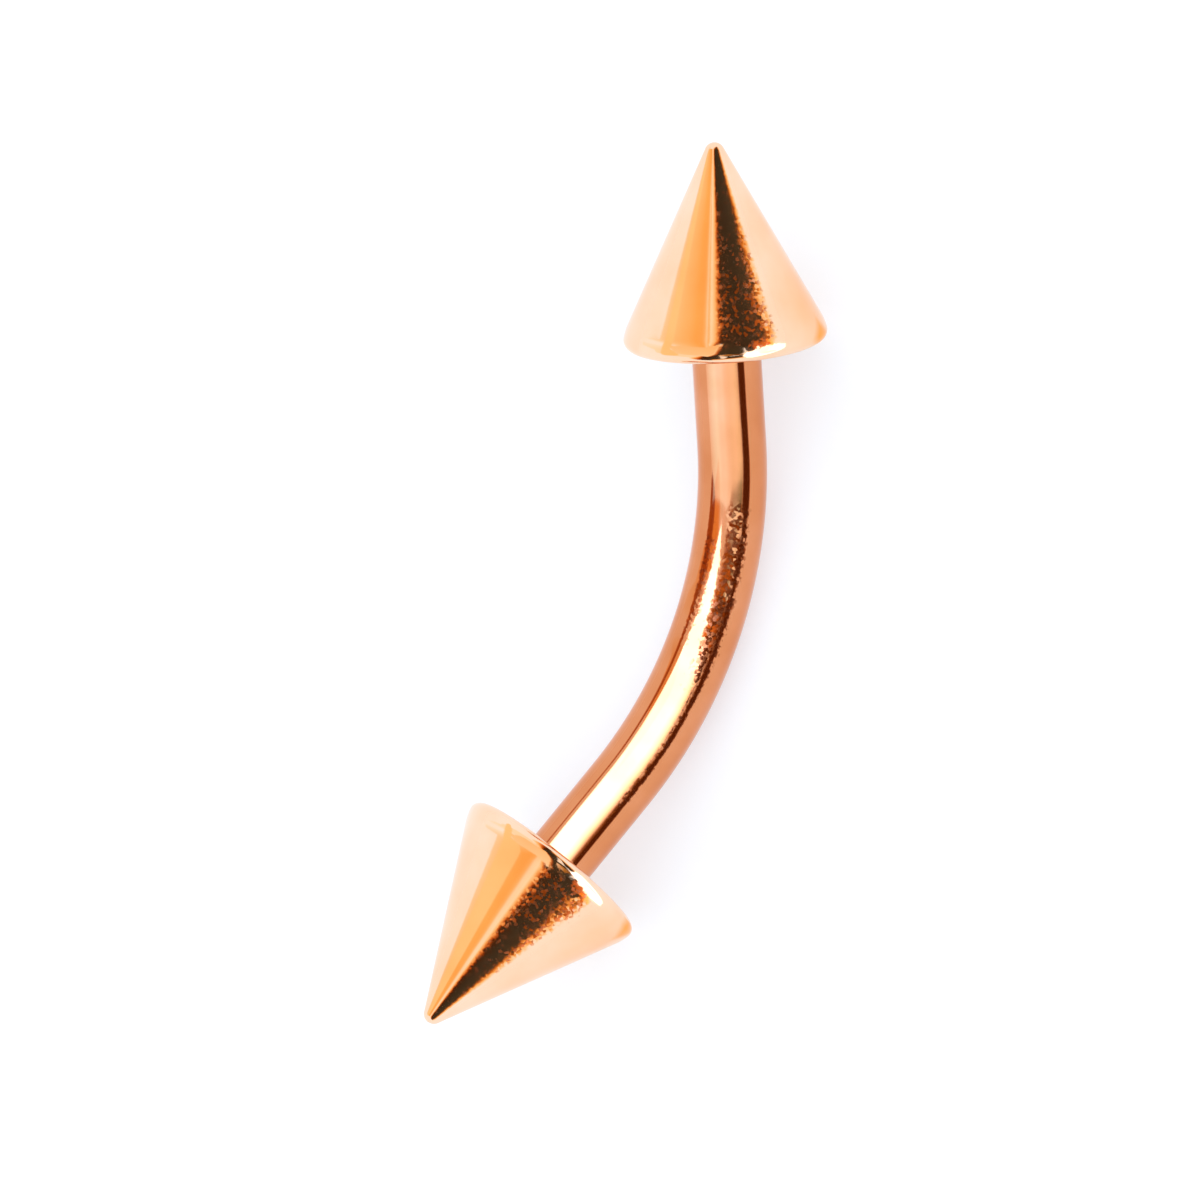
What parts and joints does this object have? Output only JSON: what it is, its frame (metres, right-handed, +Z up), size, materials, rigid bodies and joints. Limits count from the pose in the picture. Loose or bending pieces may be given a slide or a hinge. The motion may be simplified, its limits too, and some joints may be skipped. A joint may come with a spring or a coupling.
{
  "type": "curved eyebrow barbell",
  "caption": "Short curved round bar with a screw-on cone at each end, for an eyebrow piercing; polished rose-gold finish.",
  "frame": {"origin": "on the ground, below the centre of the bounding box, as the barbell lies at rest", "axes": "+Z up, +X along the chord of the bend towards the upper cone; the cones' points lean up and back to +Y"},
  "size_m": [0.0136, 0.003, 0.0029],
  "materials": {
    "bar_rose_gold": "316L surgical steel, polished, rose-gold PVD coat",
    "cone_rose_gold": "316L surgical steel, mirror polished, rose-gold PVD coat"
  },
  "bodies": {
    "bar": {"curved_bar": "bar_rose_gold"},
    "upper_cone_body": {"upper_cone": "cone_rose_gold"},
    "lower_cone_body": {"lower_cone": "cone_rose_gold"}
  },
  "joints": [
    {"name": "upper_cone_off", "type": "slide", "parent": "bar", "child": "upper_cone_body", "axis": [0.9153, 0.262, 0.3059], "range_m": [0, 0.002]},
    {"name": "lower_cone_off", "type": "slide", "parent": "bar", "child": "lower_cone_body", "axis": [-0.9153, 0.262, 0.3059], "range_m": [0, 0.002]}
  ]
}
